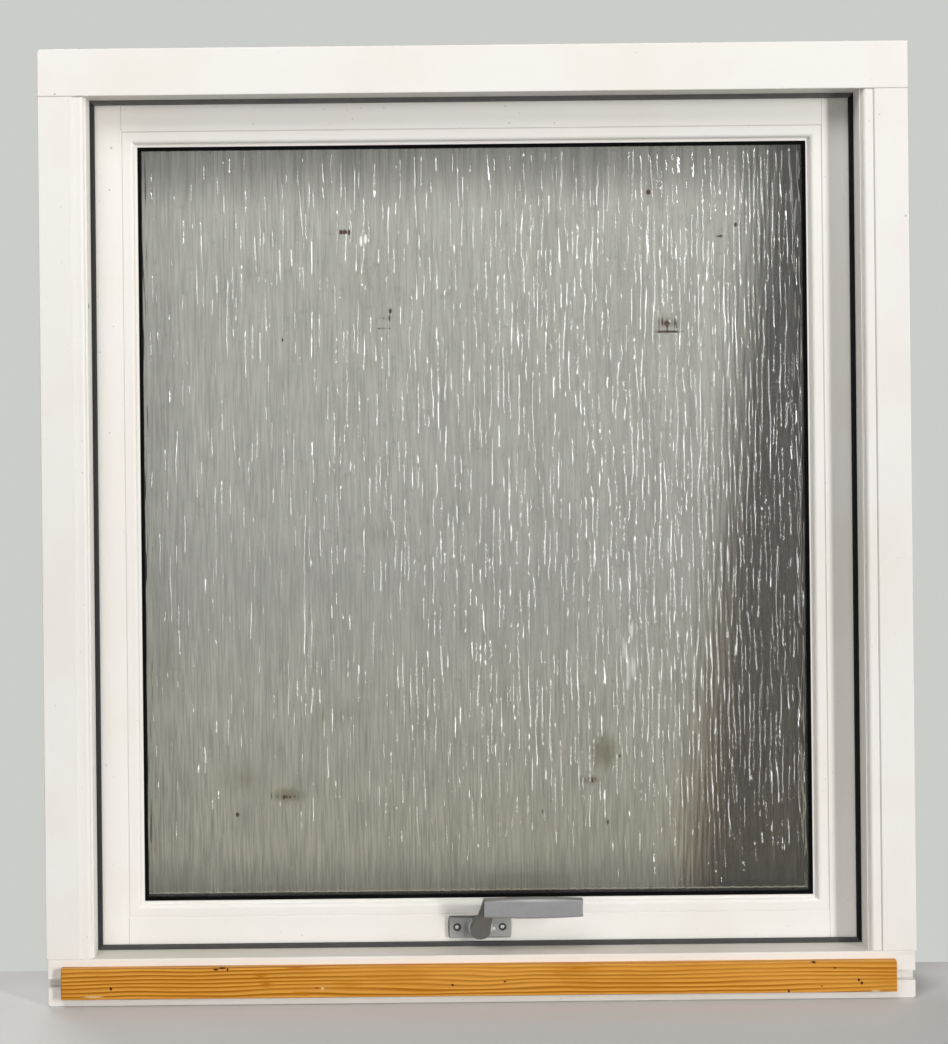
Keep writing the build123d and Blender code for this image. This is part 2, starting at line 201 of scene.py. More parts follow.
# Painted highlight along the top edge of the grip.
LEVER_TOP_HIGHLIGHT = [
    (55.0, -60.0, 106.5, 46.0, 2.2, 0.22),
]
PANE_SPOTS = [
    (-134.6, PANE_FACE_Y, 801.2, 11.0, 3.6, 1.0),
    (-87.0, PANE_FACE_Y, 717.4, 2.1, 3.2, 1.5),
    (-94.3, PANE_FACE_Y, 710.1, 10.6, 3.2, 0.6),
    (-96.2, PANE_FACE_Y, 699.0, 10.0, 1.3, 0.7),
    (187.4, PANE_FACE_Y, 840.3, 3.4, 4.0, 2.2),
    (278.7, PANE_FACE_Y, 805.0, 2.4, 2.9, 1.6),
    (262.1, PANE_FACE_Y, 793.0, 4.2, 2.1, 1.6),
    (205.5, PANE_FACE_Y, 692.6, 19.0, 1.9, 1.4),
    (206.1, PANE_FACE_Y, 701.1, 14.7, 5.6, 0.6),
    (-199.7, PANE_FACE_Y, 204.9, 15.9, 3.7, 0.5),
    (-253.8, PANE_FACE_Y, 186.9, 3.0, 3.7, 1.5),
    (71.8, PANE_FACE_Y, 186.6, 7.4, 2.6, 0.55),
    (136.8, PANE_FACE_Y, 174.9, 1.8, 3.2, 1.2),
    (150.2, PANE_FACE_Y, 244.5, 1.8, 3.2, 1.3),
    (116.5, PANE_FACE_Y, 219.5, 11.6, 2.6, 0.45),
    (-201.0, PANE_FACE_Y, 688.0, 2.1, 3.2, 1.2),
]
PANE_STAINS = [
    (-199.7, PANE_FACE_Y, 206.4, 23.3, 12.7, 0.9),
    (133.8, PANE_FACE_Y, 248.9, 18.0, 28.5, 0.9),
    (116.5, PANE_FACE_Y, 219.5, 18.0, 7.4, 0.7),
    (-247.0, PANE_FACE_Y, 225.4, 47.6, 31.7, 0.45),
    (206.2, PANE_FACE_Y, 701.7, 21.1, 12.7, 0.6),
    (-112.0, PANE_FACE_Y, 750.0, 48.0, 62.0, 0.25),
    (-329.3, PANE_FACE_Y, 345.7, 21.1, 58.1, 0.45),
    (-105.9, PANE_FACE_Y, 480.8, 31.7, 21.1, 0.4),
    (-144.9, PANE_FACE_Y, 291.0, 47.6, 26.4, 0.35),
]
PANE_STROKES = [
    (-117.4, PANE_FACE_Y, 791.7, 1.9, 7.4, 1.0),
    (-112.6, PANE_FACE_Y, 793.8, 1.7, 6.9, 1.0),
]
PANE_SMEARS = [
    (161.2, PANE_FACE_Y, 345.9, 12.7, 68.7, 0.55),
    (149.8, PANE_FACE_Y, 367.2, 5.3, 31.7, 0.4),
]

# Studio, in metres.
CAMERA_PLACE = (-0.090, -1.9575, 0.635)
CAMERA_ROLL = 0.6
CAMERA_LENS = 63.55
CAMERA_SHIFT = (0.0819, -0.1274)
SENSOR_WIDTH = 36.0
FLOOR_REACH = 5.0
BACKDROP_Y = 0.065
BACKDROP_REACH = 4.0
BACKDROP_HEIGHT = 3.2
BACKDROP_GREY = (0.60, 0.61, 0.585)
BACKDROP_SHADOW_WARM = (0.66, 0.53, 0.40)
FLOOR_PALE = (0.64, 0.635, 0.62)
FLOOR_SOFT = (0.58, 0.575, 0.56)
FLOOR_BOUNCE = (0.32, 0.315, 0.305)
SKY_SEEN = (0.55, 0.55, 0.54)
SKY_LIGHT = (0.022, 0.020, 0.018)

# What shows through the glass is painted light and shade on the backdrop: it brightens upwards, carries
# painted shadows of the frame towards three edges of the pane, and a dark, warm painted shadow of the right
# jamb beyond a leaning line at the right. Edges: start, end, share lost.
RISE_FOOT = 0.64
RISE_SLOPE = 0.575
TOP_EDGE_SHADOW = (0.825, 0.895, 0.54)
LOW_EDGE_SHADOW = (0.135, 0.090, 0.35)
LEFT_EDGE_SHADOW = (-0.295, -0.345, 0.16)
SHADOW_LINE_X = 0.2254
SHADOW_LINE_LEAN = 0.1117
SHADOW_LINE_BLUR = 0.036
SHADOW_LOSS = 0.905
WARM_SHADOW_FADE = (0.75, 0.15)

# Lamps: name, place, target, width and height, watts, seen in the glass, spread in degrees.
LAMPS = [
    ("key_strip", (4.2, -4.0, 0.79), (0.0, 0.0, 0.79), (0.50, 3.82), 204.0, True, 180.0),
    ("key_fill", (4.2, -4.0, 1.35), (0.0, 0.0, 1.35), (0.74, 2.7), 93.0, False, 180.0),
    ("top_soft", (-0.7, -1.65, 2.75), (0.0, 0.0, 0.5), (2.0, 1.3), 48.5, False, 180.0),
    ("left_low", (-1.2, -1.8, 0.35), (-0.1, 0.0, 0.3), (1.2, 0.6), 4.8, False, 180.0),
    ("front_low", (0.0, -0.9, 0.3), (0.0, 0.0, 0.06), (1.1, 0.1), 0.155, False, 50.0),
    ("back_soft", (-1.5, 3.0, 2.5), (0.0, 0.0, 0.5), (3.0, 3.0), 110.0, False, 180.0),
]


class Wire:
    """A node's output that takes part in Python expressions."""

    def __init__(self, nodes, socket):
        self.nodes = nodes
        self.socket = socket

    def math(self, operation, first, second):
        return self.nodes.add("ShaderNodeMath", {"operation": operation}, {0: first, 1: second})

    def __add__(self, other):
        return self.math("ADD", self, other)

    def __radd__(self, other):
        return self.math("ADD", other, self)

    def __sub__(self, other):
        return self.math("SUBTRACT", self, other)

    def __rsub__(self, other):
        return self.math("SUBTRACT", other, self)

    def __mul__(self, other):
        return self.math("MULTIPLY", self, other)

    def __rmul__(self, other):
        return self.math("MULTIPLY", other, self)

    def __truediv__(self, other):
        return self.math("DIVIDE", self, other)

    def __abs__(self):
        return self.math("ABSOLUTE", self, 0.0)

    def larger(self, other):
        return self.math("MAXIMUM", self, other)

    def smaller(self, other):
        return self.math("MINIMUM", self, other)

    def fraction(self):
        return self.math("FRACT", self, 0.0)


class Nodes:
    """A node tree that is filled one node at a time."""

    def __init__(self, tree):
        self.tree = tree

    def add(self, kind, settings=None, sockets=None, output=0):
        node = self.tree.nodes.new(kind)
        for name, value in (settings or {}).items():
            setattr(node, name, value)
        for name, value in (sockets or {}).items():
            if isinstance(value, Wire):
                self.tree.links.new(value.socket, node.inputs[name])
            else:
                node.inputs[name].default_value = value
        return Wire(self, node.outputs[output])

    def place(self):
        return self.add("ShaderNodeTexCoord", output="Object")

    def parts(self, vector):
        node = self.add("ShaderNodeSeparateXYZ", {}, {0: vector}).socket.node
        return [Wire(self, socket) for socket in node.outputs]

    def vector(self, x, y, z):
        return self.add("ShaderNodeCombineXYZ", {}, {0: x, 1: y, 2: z})

    def noise(self, vector, stretch, detail, seed, roughness=0.5):
        """Noise with this many cells per metre along x, y and z; the seed picks another part of it."""
        spot = {0: vector, 1: stretch, 2: (seed * 7.1, seed * 3.3, seed * 5.7)}
        spread = self.add("ShaderNodeVectorMath", {"operation": "MULTIPLY_ADD"}, spot)
        sockets = {"Vector": spread, "Scale": 1.0, "Detail": detail, "Roughness": roughness}
        return self.add("ShaderNodeTexNoise", {}, sockets)

    def seeded_noise(self, vector, detail, roughness, seed):
        sockets = {"Vector": vector, "W": seed, "Scale": 1.0, "Detail": detail, "Roughness": roughness}
        return self.add("ShaderNodeTexNoise", {"noise_dimensions": "4D"}, sockets)

    def between(self, value, low, high):
        settings = {"interpolation_type": "SMOOTHSTEP"}
        return self.add("ShaderNodeMapRange", settings, {"Value": value, "From Min": low, "From Max": high})

    def tint(self, mask, colour, other):
        sockets = {0: mask, 6: opaque(colour), 7: opaque(other)}
        return self.add("ShaderNodeMix", {"data_type": "RGBA"}, sockets, output=2)

    def shade(self, colour, amount):
        grey = self.add("ShaderNodeCombineColor", {}, {0: amount, 1: amount, 2: amount})
        settings = {"data_type": "RGBA", "blend_type": "MULTIPLY"}
        return self.add("ShaderNodeMix", settings, {0: 1.0, 6: colour, 7: grey}, output=2)

    def bump(self, height, distance, strength=1.0):
        return self.add("ShaderNodeBump", {}, {"Height": height, "Distance": distance, "Strength": strength})

    def marks(self, vector, listed):
        """Soft spots: each one's strength in its middle, falling to 0 at its rim."""
        total = None
        for x, y, z, half_width, half_height, strength in listed:
            halves = (half_width, MARK_DEPTH, half_height)
            reach = tuple(1 / (half * MM) for half in halves)
            offset = tuple(-middle / half for middle, half in zip((x, y, z), halves))
            sockets = {0: vector, 1: reach, 2: offset}
            away = self.add("ShaderNodeVectorMath", {"operation": "MULTIPLY_ADD"}, sockets)
            span = self.add("ShaderNodeVectorMath", {"operation": "LENGTH"}, {0: away}, 1)
            fall = {0: span, 1: -strength, 2: strength}
            mark = self.add("ShaderNodeMath", {"operation": "MULTIPLY_ADD"}, fall)
            total = mark if total is None else total.larger(mark)
        return total

    def spots(self, vector, listed, edge):
        """Marks with a firm edge; a small edge value makes it sharper."""
        return self.between(self.marks(vector, listed), 0.0, edge)


def even(cells):
    """The same number of cells along x, y and z."""
    return (cells, cells, cells)


def opaque(colour):
    """A plain colour with its alpha; a wired colour as it is."""
    return colour if isinstance(colour, Wire) else (*colour, 1.0)


def new_finish(name):
    material = bpy.data.materials.new(name)
    material.use_nodes = True
    material.node_tree.nodes.clear()
    return material, Nodes(material.node_tree)


def close_finish(nodes, surface):
    end = nodes.tree.nodes.new("ShaderNodeOutputMaterial")
    nodes.tree.links.new(surface.socket, end.inputs["Surface"])


# Finishes

def shoulder_seam(x, z):
    """How far a place lies from the joints between the rails and the stiles."""
    return abs(abs(x) - SHOULDER_X * MM)


def head_seam(x, z):
    """How far a place lies from the joint between the jambs and the head."""
    return abs(z - HEAD_UNDERSIDE_Z * MM)


def white_paint(name, along, marks, seam=None, grey_top=None):
    """Sprayed satin paint over planed pine; the grain telegraphs through along one axis."""
    material, nodes = new_finish(name)
    place = nodes.place()
    x, _, z = nodes.parts(place)
    stretch = (420.0, 420.0, 9.0) if along == "upright" else (9.0, 420.0, 420.0)
    grain = nodes.noise(place, stretch, 2.0, 1.0, 0.6)
    cloud = nodes.noise(place, even(7.0), 2.0, 2.0, 0.6)
    peel = nodes.noise(place, even(900.0), 0.0, 3.0)
    speck = nodes.between(nodes.noise(place, even(260.0), 1.0, 5.0), 0.765, 0.82)
    colour = nodes.tint(nodes.between(cloud, 0.42, 0.78) * 0.55, PAINT_WHITE, PAINT_AGED)
    colour = nodes.tint(nodes.between(grain, 0.55, 0.85) * 0.16, colour, PAINT_AGED)
    colour = nodes.tint(speck * 0.5, colour, PAINT_GRIME)
    if seam:
        line = nodes.between(seam(x, z), SEAM_EDGE * MM, SEAM_CORE * MM)
        colour = nodes.tint(line * 0.75, colour, SEAM_SHADE)
    colour = nodes.tint(nodes.spots(place, marks, 0.5), colour, PAINT_GRIME)
    # Greyer and darker on faces above the given height, which is the top of the sill.
    if grey_top:
        greyed = nodes.between(z, (grey_top - 1.0) * MM, (grey_top - 0.1) * MM)
        colour = nodes.tint(greyed * (0.35 + 0.7 * cloud), colour, PAINT_TOP_GREY)
    height = grain * 0.6 + peel * 0.4
    normal = nodes.bump(height, 0.12 * MM, 0.6)
    rough = 0.34 + 0.12 * cloud + 0.06 * grain
    sockets = {"Base Color": colour, "Roughness": rough, "Normal": normal, "IOR": 1.48}
    close_finish(nodes, nodes.add("ShaderNodeBsdfPrincipled", {}, sockets))
    return material


def grey_rubber(name, dusty):
    """Weather seal: extruded rubber with a fine drawn skin, lightened by dust and painted light; the least
    lightened is painted shade.
    """
    material, nodes = new_finish(name)
    place = nodes.place()
    dust = nodes.noise(place, even(55.0), 3.0, 1.0, 0.65)
    fine = nodes.noise(place, even(1400.0), 1.0, 2.0)
    # The given amount mixes dust and painted light; none leaves the painted shade of a seal in shadow.
    colour = nodes.tint((0.45 + 0.5 * dust) * dusty, RUBBER_GREY, RUBBER_DUST)
    sockets = {
        "Base Color": colour,
        "Roughness": 0.5 + 0.25 * dust,
        "Specular IOR Level": 0.25,
        "Normal": nodes.bump(fine, 0.08 * MM, 0.5),
    }
    close_finish(nodes, nodes.add("ShaderNodeBsdfPrincipled", {}, sockets))
    return material


def black_rubber(name, colour_black):
    """Glazing seal and spacer: black, with a thin film of dust."""
    material, nodes = new_finish(name)
    place = nodes.place()
    dust = nodes.noise(place, even(80.0), 3.0, 1.0, 0.65)
    fine = nodes.noise(place, even(1600.0), 1.0, 2.0)
    colour = nodes.tint(nodes.between(dust, 0.55, 0.85) * 0.15, colour_black, RUBBER_GREY)
    sockets = {
        "Base Color": colour,
        "Roughness": 0.55 + 0.3 * dust,
        "Specular IOR Level": 0.08,
        "Normal": nodes.bump(fine, 0.06 * MM, 0.5),
    }
    close_finish(nodes, nodes.add("ShaderNodeBsdfPrincipled", {}, sockets))
    return material


def ridged_glass():
    """Rolled glass, grey-green in the thickness, with stains, silt and pale smears on its face."""
    material, nodes = new_finish("ridged_glass")
    place = nodes.place()
    x, _, z = nodes.parts(place)
    streaks = nodes.noise(place, (110.0, 0.0, 7.0), 1.0, 1.0)
    ripple = nodes.noise(place, (270.0, 0.0, 28.0), 0.0, 4.0)
    lines = nodes.noise(place, (620.0, 0.0, 24.0), 1.0, 6.0)
    beads = nodes.noise(place, (300.0, 0.0, 100.0), 0.0, 5.0)
    runs = nodes.between(nodes.noise(place, (130.0, 0.0, 3.0), 0.0, 8.0), 0.46, 0.66)
    runs = runs * nodes.between(z, 0.78, 0.89)
    ragged = ripple - 0.5
    dashes = lines - 0.5
    silt = nodes.between(nodes.marks(place, PANE_SPOTS) + dashes * 2.4 + ragged, 0.30, 0.62)
    stain = nodes.between(nodes.marks(place, PANE_STAINS) + dashes * 0.9 + ragged * 0.3, 0.05, 0.75)
    stroke = nodes.spots(place, PANE_STROKES, 0.35)
    smear = nodes.between(nodes.marks(place, PANE_SMEARS) + ragged, 0.22, 0.55)
    low = nodes.between(z, 0.46, 0.10)
    rough_side = 0.34 + 0.30 * nodes.between(x, 0.05, -0.30) + 0.40 * low
    shade = 1.0 + 0.26 * (streaks - 0.5) + rough_side * dashes - 0.14 * runs
    colour = nodes.tint(low, GLASS_GREY, GLASS_WARM)
    colour = nodes.shade(nodes.tint(stain * 0.8, colour, GLASS_STAIN), shade)
    glass = nodes.add(
        "ShaderNodeBsdfPrincipled",
        {},
        {
            "Base Color": colour,
            "Roughness": 0.035 + 0.04 * streaks,
            "IOR": 1.52,
            "Transmission Weight": 1.0,
            "Normal": nodes.bump(ripple + 0.35 * beads, 0.35 * MM),
        },
    )
    dirt_colour = nodes.tint(stain, GLASS_DUST, GLASS_STAIN)
    dirt_colour = nodes.tint(silt, dirt_colour, GLASS_SILT)
    dirt_colour = nodes.tint(smear.larger(stroke), dirt_colour, GLASS_CHALK)
    dirt = nodes.add("ShaderNodeBsdfPrincipled", {}, {"Base Color": dirt_colour, "Roughness": 0.55})
    cover = (silt * 0.92).larger(smear * 0.4).larger(stroke * 0.95)
    cover = cover.larger(stain * 0.18).larger(GLASS_FILM)
    close_finish(nodes, nodes.add("ShaderNodeMixShader", {}, {0: cover, 1: glass, 2: dirt}))
    return material


def clear_glass():
    """Float glass with faint dust and dried drops."""
    material, nodes = new_finish("clear_float_glass")
    place = nodes.place()
    dust = nodes.noise(place, (30.0, 0.0, 30.0), 2.0, 1.0)
    drops = nodes.between(nodes.noise(place, (160.0, 0.0, 160.0), 0.0, 2.0), 0.74, 0.80)
    glass = nodes.add(
        "ShaderNodeBsdfPrincipled",
        {},
        {
            "Base Color": opaque(GLASS_CLEAR),
            "Roughness": 0.01 + 0.03 * dust,
            "IOR": 1.52,
            "Transmission Weight": 1.0,
        },
    )
    dusty = {"Base Color": opaque(FLOAT_DUST), "Roughness": 0.8}
    film = nodes.add("ShaderNodeBsdfPrincipled", {}, dusty)
    cover = 0.05 * nodes.between(dust, 0.45, 0.8) + 0.08 * drops
    close_finish(nodes, nodes.add("ShaderNodeMixShader", {}, {0: cover, 1: glass, 2: film}))
    return material


def plate_shade(nodes, place):
    return nodes.spots(place, PLATE_SHADE, 0.3)


def hub_shade(nodes, place):
    """Painted shade: 1 on the hub and the neck, which lie behind and below the grip, 0 on the grip in front
    of and beside them.
    """
    x, y, _ = nodes.parts(place)
    behind = nodes.between(y, GRIP_BACK_Y * MM, (GRIP_BACK_Y + 2.0) * MM)
    beside = nodes.between(x, (GRIP_START_X + 0.6) * MM, (GRIP_START_X - 0.6) * MM)
    return behind.larger(beside) * 0.75


def cast_metal(name, base, painted_shade, highlights, mottle):
    """Satin lacquered zinc casting: fine grit and faint clouds, with painted shade from the given mask and
    painted highlights in the given marks.
    """
    material, nodes = new_finish(name)
    place = nodes.place()
    grit = nodes.noise(place, even(900.0), 2.0, 1.0, 0.7)
    cloud = nodes.noise(place, even(60.0), 2.0, 2.0, 0.55)
    draw = nodes.noise(place, (60.0, 900.0, 900.0), 1.0, 3.0)
    colour = nodes.tint(nodes.between(cloud, 0.35, 0.75) * 0.5, base, CAST_DARK)
    colour = nodes.shade(colour, 1.0 + mottle * (grit - 0.5))
    # Painted shade where the given mask says, then painted highlights in the given marks.
    colour = nodes.tint(painted_shade(nodes, place), colour, CAST_SHADE)
    colour = nodes.tint(nodes.spots(place, highlights, 0.5), colour, CAST_HIGHLIGHT)
    sockets = {
        "Base Color": colour,
        "Metallic": 0.45,
        "Roughness": 0.36 + 0.14 * cloud + 0.06 * draw,
        "Normal": nodes.bump(grit * 0.6 + draw * 0.4, 0.06 * MM, 0.7),
    }
    close_finish(nodes, nodes.add("ShaderNodeBsdfPrincipled", {}, sockets))
    return material


def bright_steel(name, colour_steel, rough, highlight_spots):
    """Zinc plated steel with scratches and dull spots; given highlight spots get a painted highlight, with
    painted shade around them.
    """
    material, nodes = new_finish(name)
    place = nodes.place()
    scratch = nodes.noise(place, (900.0, 900.0, 60.0), 2.0, 1.0, 0.6)
    dull = nodes.noise(place, even(90.0), 3.0, 2.0, 0.6)
    colour = nodes.tint(nodes.between(dull, 0.4, 0.8) * 0.6, colour_steel, CAST_DARK)
    if highlight_spots:
        # Painted highlight inside the given spots, painted shade outside them.
        colour = nodes.tint(nodes.spots(place, highlight_spots, 0.4), STEEL_SHADE, colour)
    colour = nodes.shade(colour, 0.85 + 0.3 * scratch)
    sockets = {
        "Base Color": colour,
        "Metallic": 1.0,
        "Roughness": rough + 0.2 * dull,
        "Normal": nodes.bump(scratch, 0.04 * MM, 0.6),
    }
    close_finish(nodes, nodes.add("ShaderNodeBsdfPrincipled", {}, sockets))
    return material


def lacquered_pine():
    """Pine with growth rings that run along the strip, nail holes and bare chips."""
    material, nodes = new_finish("lacquered_pine")
    place = nodes.place()
    _, y, z = nodes.parts(place)
    sway = nodes.noise(place, (5.0, 6.0, 22.0), 2.0, 6.0)
    swirl = nodes.spots(place, STRIP_SWIRL, 1.0)
    spread = nodes.noise(place, (2.0, 20.0, 40.0), 2.0, 7.0)
    fibre = nodes.noise(place, (40.0, 900.0, 1300.0), 3.0, 8.0, 0.6)
    blush = nodes.noise(place, (9.0, 20.0, 30.0), 3.0, 9.0)
    level = z + 0.45 * y + (sway - 0.5) * (RING_SWAY * MM + SWIRL_SWAY * MM * swirl)
    ring = (level / (RING_SPACING * MM) + spread * 2.2).fraction()
    late = nodes.between(ring, 0.22, 0.80) * nodes.between(ring, 1.0, 0.90)
    strength = late * (0.50 + 0.50 * nodes.between(spread, 0.36, 0.58))
    colour = nodes.tint(strength, PINE_EARLY, PINE_LATE)
    colour = nodes.tint(nodes.between(blush, 0.45, 0.8) * 0.45, colour, PINE_FLAME)
    flame = nodes.between(nodes.marks(place, STRIP_FLAMES) + (fibre - 0.5) * 2.0, 0.05, 0.9)
    colour = nodes.tint(flame, colour, PINE_FLAME)
    colour = nodes.shade(colour, 0.86 + 0.26 * fibre)
    hole = nodes.spots(place, STRIP_HOLES, 0.5)
    chip = nodes.spots(place, STRIP_CHIPS, 0.5)
    colour = nodes.tint(chip, colour, PINE_BARE)
    colour = nodes.tint(hole, colour, PINE_HOLE)
    height = fibre * 0.4 - late * 0.3 - hole - chip
    sockets = {
        "Base Color": colour,
        "Roughness": 0.42 + 0.12 * fibre,
        "Specular IOR Level": 0.15,
        "Normal": nodes.bump(height, 0.25 * MM, 0.6),
    }
    close_finish(nodes, nodes.add("ShaderNodeBsdfPrincipled", {}, sockets))
    return material


# Pieces

def new_tree(name, inputs):
    tree = bpy.data.node_groups.new(name, "GeometryNodeTree")
    for label, kind in inputs:
        tree.interface.new_socket(name=label, in_out="INPUT", socket_type=kind)
    tree.interface.new_socket(name="Geometry", in_out="OUTPUT", socket_type="NodeSocketGeometry")
    return tree, Nodes(tree)


def given(nodes, label):
    return nodes.add("NodeGroupInput", output=label)


def close_tree(nodes, geometry, finish):
    real = nodes.add("GeometryNodeRealizeInstances", {}, {0: geometry})
    dressed = nodes.add("GeometryNodeSetMaterial", {}, {"Geometry": real, "Material": finish})
    end = nodes.tree.nodes.new("NodeGroupOutput")
    nodes.tree.links.new(dressed.socket, end.inputs[0])


def grown_mesh(name, tree, values, finish):
    """Runs a tree with the given sizes and keeps the result as a plain mesh with one finish."""
    seed_object = bpy.data.objects.new(name + "_maker", bpy.data.meshes.new(name + "_maker"))
    bpy.context.collection.objects.link(seed_object)
    modifier = seed_object.modifiers.new("grow", "NODES")
    modifier.node_group = tree
    for item in tree.interface.items_tree:
        if item.in_out == "INPUT":
            modifier[item.identifier] = values[item.name]
    bpy.context.view_layer.update()
    grown = seed_object.evaluated_get(bpy.context.evaluated_depsgraph_get())
    mesh = bpy.data.meshes.new_from_object(grown)
    mesh.name = name
    mesh.materials.clear()
    mesh.materials.append(finish)
    seed_object.modifiers.remove(modifier)
    bpy.data.objects.remove(seed_object)
    return mesh


def ridge_tree(finish):
    """A standing grid whose room face is carved into long wandering ridges."""
    number = "NodeSocketFloat"
    labels = ["Pane width", "Pane height", "Bottom", "Face", "Ridge depth", "Ridge width", "Ridge length"]
    inputs = [(label, number) for label in labels + ["Ridge wander", "Plain rim", "Seed"]]
    inputs += [("Columns", "NodeSocketInt"), ("Rows", "NodeSocketInt")]
    tree, nodes = new_tree("pane_ridges", inputs)
    width = given(nodes, "Pane width")
    height = given(nodes, "Pane height")
    seed = given(nodes, "Seed")
    ridge_width = given(nodes, "Ridge width")
    ridge_length = given(nodes, "Ridge length")
    sizes = {
        "Size X": width,
        "Size Y": height,
        "Vertices X": given(nodes, "Columns"),
        "Vertices Y": given(nodes, "Rows"),
    }
    grid = nodes.add("GeometryNodeMeshGrid", {}, sizes)
    x, across, _ = nodes.parts(nodes.add("GeometryNodeInputPosition"))
    drift_place = nodes.vector(x * DRIFT_CELLS[0], across * DRIFT_CELLS[1], 0.0)
    drift = nodes.seeded_noise(drift_place, 1.0, 0.5, seed + 7.0)
    shaken = x + (drift - 0.5) * given(nodes, "Ridge wander")
    ridge = shaken / ridge_width
    course = across / ridge_length
    coarse = nodes.seeded_noise(nodes.vector(ridge, course, 0.0), 1.0, 0.45, seed)
    fine = nodes.seeded_noise(nodes.vector(ridge * 2.1, course * 1.6, 3.0), 0.0, 0.5, seed)
    carved = nodes.between(coarse * 0.8 + fine * 0.2, 0.34, 0.66)
    rim = (width * 0.5 - abs(x)).smaller(height * 0.5 - abs(across))
    plain = given(nodes, "Plain rim")
    relief = (carved - 0.5) * nodes.between(rim, plain, plain + RIM_FADE * MM)
    room_side = given(nodes, "Face") + relief * given(nodes, "Ridge depth")
    standing = nodes.vector(x, room_side, across + given(nodes, "Bottom") + height * 0.5)
    moved = nodes.add("GeometryNodeSetPosition", {}, {"Geometry": grid, "Position": standing})
    smooth = nodes.add("GeometryNodeSetShadeSmooth", {}, {"Geometry": moved, "Shade Smooth": True})
    close_tree(nodes, smooth, finish)
    return tree


def close_pane(mesh):
    """Adds the flat outer face and the four edges behind the carved face."""
    low_x, high_x = -PANE_HALF_WIDTH * MM, PANE_HALF_WIDTH * MM
    low_z, high_z = PANE_BOTTOM_Z * MM, PANE_TOP_Z * MM
    shell = bmesh.new()
    shell.from_mesh(mesh)
    back = [shell.verts.new((px, PANE_BACK_Y * MM, pz)) for px, pz in
            [(low_x, low_z), (high_x, low_z), (high_x, high_z), (low_x, high_z)]]
    front = [v for v in shell.verts if v not in set(back)]
    near = 0.01 * MM
    sides = [
        sorted((v for v in front if abs(v.co.z - low_z) < near), key=lambda v: v.co.x),
        sorted((v for v in front if abs(v.co.x - high_x) < near), key=lambda v: v.co.z),
        sorted((v for v in front if abs(v.co.z - high_z) < near), key=lambda v: -v.co.x),
        sorted((v for v in front if abs(v.co.x - low_x) < near), key=lambda v: -v.co.z),
    ]
    for index, side in enumerate(sides):
        face = shell.faces.new(side + [back[(index + 1) % 4], back[index]])
        face.smooth = False
    shell.faces.new(back).smooth = False
    for index, side in enumerate(sides):
        for first, second in zip(side, side[1:]):
            shell.edges.get((first, second)).smooth = False
    bmesh.ops.recalc_face_normals(shell, faces=shell.faces)
    shell.to_mesh(mesh)
    shell.free()


def screw_tree(finish):
    """Raised heads with a cross recess, one at each end of the plate."""
    number = "NodeSocketFloat"
    labels = ["Head radius", "Head rise", "Cross length", "Cross width", "Cross depth", "Spacing", "Turn"]
    inputs = [(label, number) for label in labels] + [("Seat", "NodeSocketVector")]
    tree, nodes = new_tree("plate_screws", inputs)
    radius = given(nodes, "Head radius")
    rise = given(nodes, "Head rise")
    ball = nodes.add("GeometryNodeMeshUVSphere", {}, {"Segments": 40, "Rings": 24, "Radius": radius})
    flatten = {"Geometry": ball, "Scale": nodes.vector(1.0, 1.0, rise / radius)}
    head = nodes.add("GeometryNodeTransform", {}, flatten)
    cross_depth = given(nodes, "Cross depth")
    long_side = given(nodes, "Cross length")
    short_side = given(nodes, "Cross width")
    level_size = nodes.vector(long_side, short_side, cross_depth * 2.0)
    upright_size = nodes.vector(short_side, long_side, cross_depth * 2.0)
    bar_one = nodes.add("GeometryNodeMeshCube", {}, {0: level_size})
    bar_two = nodes.add("GeometryNodeMeshCube", {}, {0: upright_size})
    recess = nodes.add("GeometryNodeMeshBoolean", {"operation": "UNION"}, {1: bar_one})
    nodes.tree.links.new(bar_two.socket, recess.socket.node.inputs[1])
    lift = {"Geometry": recess, "Translation": nodes.vector(0.0, 0.0, rise)}
    raised = nodes.add("GeometryNodeTransform", {}, lift)
    cut = nodes.add("GeometryNodeMeshBoolean", {"operation": "DIFFERENCE"}, {0: head, 1: raised})
    turn = {"Geometry": cut, "Rotation": nodes.vector(math.radians(90.0), given(nodes, "Turn"), 0.0)}
    facing = nodes.add("GeometryNodeTransform", {}, turn)
    spacing = given(nodes, "Spacing")
    row = {
        "Count": 2,
        "Start Location": nodes.vector(spacing * -0.5, 0.0, 0.0),
        "Offset": nodes.vector(spacing, 0.0, 0.0),
    }
    ends = nodes.add("GeometryNodeMeshLine", {}, row)
    both = nodes.add("GeometryNodeInstanceOnPoints", {}, {"Points": ends, "Instance": facing})
    seated = nodes.add("GeometryNodeTransform", {}, {"Geometry": both, "Translation": given(nodes, "Seat")})
    close_tree(nodes, seated, finish)
    return tree


def show_piece(name, mesh, body):
    piece = bpy.data.objects.new(name, mesh)
    bpy.context.collection.objects.link(piece)
    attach(piece, body)
    return piece


def make_pane(finish):
    values = {
        "Pane width": 2 * PANE_HALF_WIDTH * MM,
        "Pane height": (PANE_TOP_Z - PANE_BOTTOM_Z) * MM,
        "Bottom": PANE_BOTTOM_Z * MM,
        "Face": PANE_FACE_Y * MM,
        "Ridge depth": RIDGE_DEPTH * MM,
        "Ridge width": RIDGE_WIDTH * MM,
        "Ridge length": RIDGE_LENGTH * MM,
        "Ridge wander": RIDGE_WANDER * MM,
        "Plain rim": PLAIN_RIM * MM,
        "Seed": RIDGE_SEED,
        "Columns": PANE_COLUMNS,
        "Rows": PANE_ROWS,
    }
    mesh = grown_mesh("patterned_pane", ridge_tree(finish), values, finish)
    close_pane(mesh)
    piece = show_piece("patterned_pane", mesh, "window")
    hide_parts("pane_inner")


